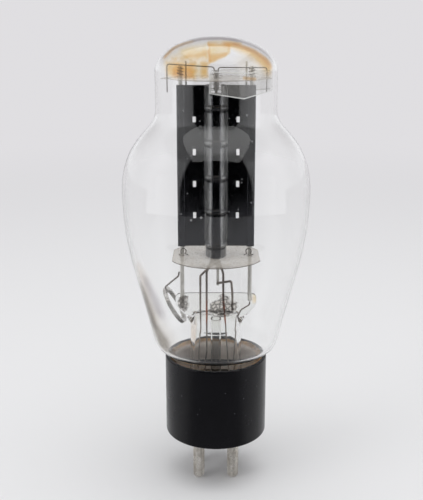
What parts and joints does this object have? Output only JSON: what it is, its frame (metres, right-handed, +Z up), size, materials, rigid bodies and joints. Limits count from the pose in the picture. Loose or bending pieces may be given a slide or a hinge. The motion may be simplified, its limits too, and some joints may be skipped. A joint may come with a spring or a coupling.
{
  "type": "vacuum tube",
  "caption": "Directly heated power triode in a shouldered glass bulb on a black base with round pins: a tall black plate with a beaded column between mica spacers on a pressed glass foot.",
  "frame": {"origin": "centre of the pins' tips, on the plane the tube stands on, below the axis of the bulb", "axes": "+Z up along the tube's axis towards the crown, -Y towards the two thick pins, which is the side the picture shows, +X to the picture's right"},
  "size_m": [0.062, 0.062, 0.1514],
  "materials": {
    "bulb_glass": "clear",
    "stem_glass": "clear",
    "black_base": "moulded, satin",
    "cement": "matt",
    "pin_nickel": "worn",
    "plate_black": "carbonised, satin",
    "mica": "cloudy sheet",
    "bumper_mica": "clear sheet",
    "rod_nickel": "drawn",
    "spring_wire": "drawn",
    "grid_wire": "drawn",
    "filament_oxide": "powdery oxide",
    "lead_wire": "oxidised",
    "getter_steel": "rolled"
  },
  "bodies": {
    "root": {"bulb": "bulb_glass", "stem": "stem_glass", "exhaust_tube": "stem_glass", "base_shell": "black_base", "base_cement": "cement", "filament_pin_left": "pin_nickel", "filament_pin_right": "pin_nickel", "grid_pin": "pin_nickel", "plate_pin": "pin_nickel", "bayonet_pin": "pin_nickel", "anode_front": "plate_black", "anode_rear": "plate_black", "lower_mica": "mica", "upper_mica": "mica", "bumper_front": "bumper_mica", "bumper_rear": "bumper_mica", "plate_rod_left": "rod_nickel", "plate_rod_right": "rod_nickel", "tie_rod_left": "rod_nickel", "tie_rod_right": "rod_nickel", "centre_strap": "rod_nickel", "rod_wrap_left": "spring_wire", "rod_wrap_right": "spring_wire", "rod_clip_left": "spring_wire", "rod_clip_right": "spring_wire", "filament_spring_left": "spring_wire", "filament_spring_right": "spring_wire", "centre_hook": "spring_wire", "getter_arm": "spring_wire", "grid_rod_front": "grid_wire", "grid_rod_rear": "grid_wire", "grid_winding": "grid_wire", "filament": "filament_oxide", "filament_lead_left": "lead_wire", "filament_lead_right": "lead_wire", "grid_lead": "lead_wire", "plate_lead": "lead_wire", "centre_support": "lead_wire", "getter_ring": "getter_steel"}
  },
  "joints": []
}
